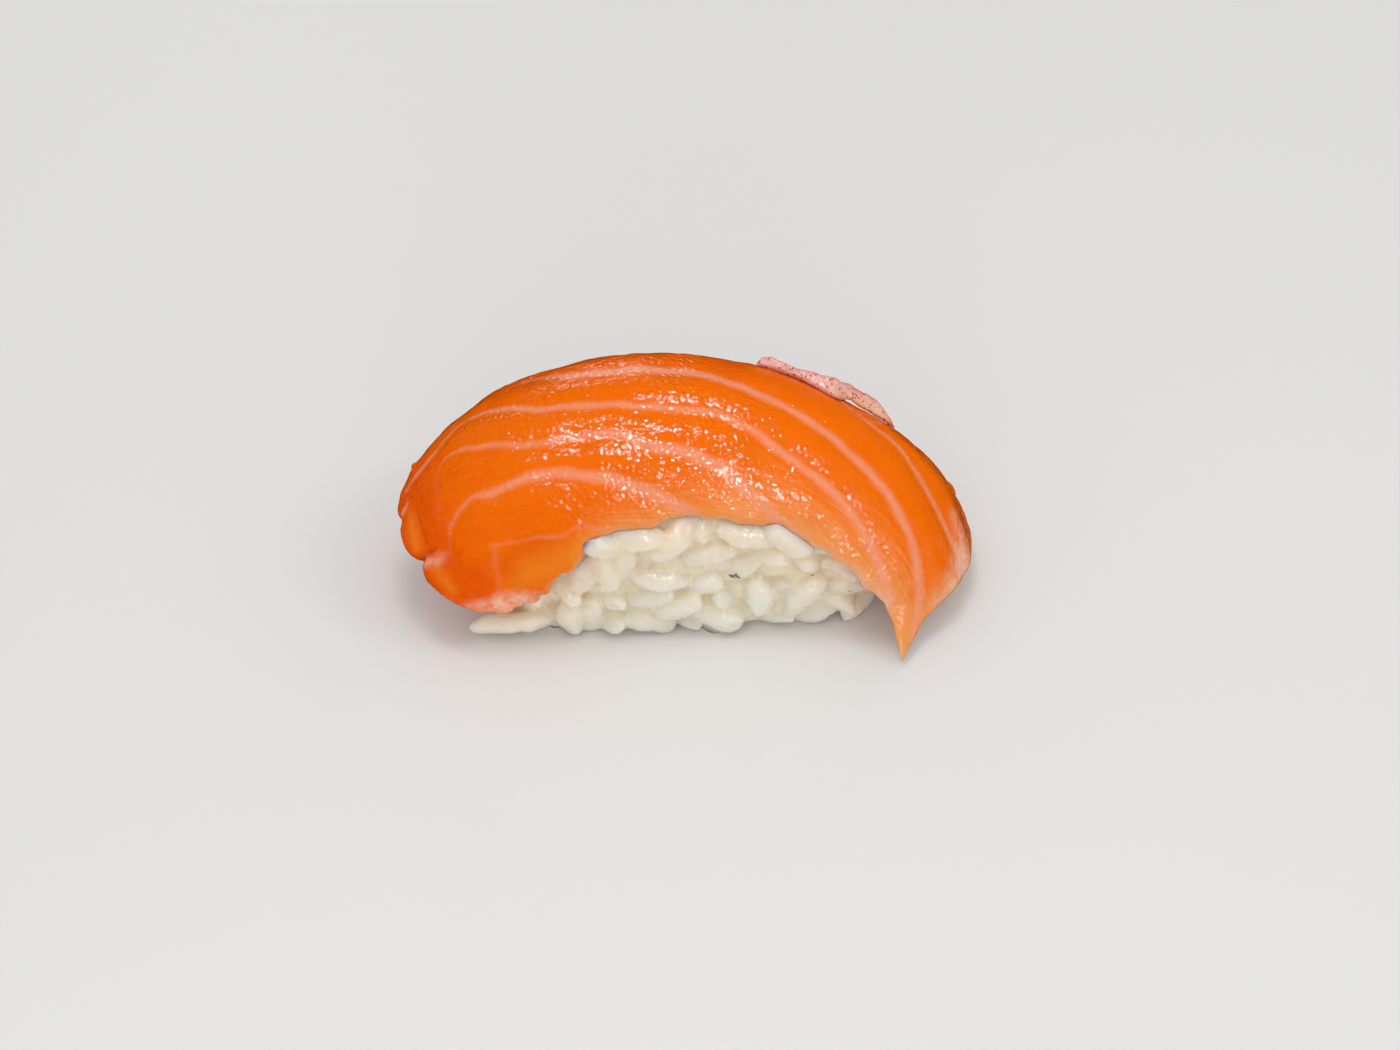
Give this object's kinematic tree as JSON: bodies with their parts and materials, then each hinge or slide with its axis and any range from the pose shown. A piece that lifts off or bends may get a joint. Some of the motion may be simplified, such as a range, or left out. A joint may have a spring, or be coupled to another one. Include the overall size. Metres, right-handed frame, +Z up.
{
  "type": "salmon nigiri",
  "caption": "Hand-pressed finger of sushi rice with a slice of raw salmon draped over it, its thin front edge baring the grains.",
  "frame": {"origin": "bottom centre of the whole piece, on the surface it stands on", "axes": "+X along the rice, towards the end where the slice narrows to its pointed corner; +Y towards the back, away from the open front where the rice shows; +Z up"},
  "size_m": [0.069, 0.0346, 0.028],
  "materials": {
    "salmon": "wet gloss",
    "cooked_rice": "moist satin",
    "pink_trimming": "moist satin"
  },
  "bodies": {
    "root": {"salmon_slice": "salmon", "rice_mound": "cooked_rice", "pink_shred": "pink_trimming"}
  },
  "joints": []
}
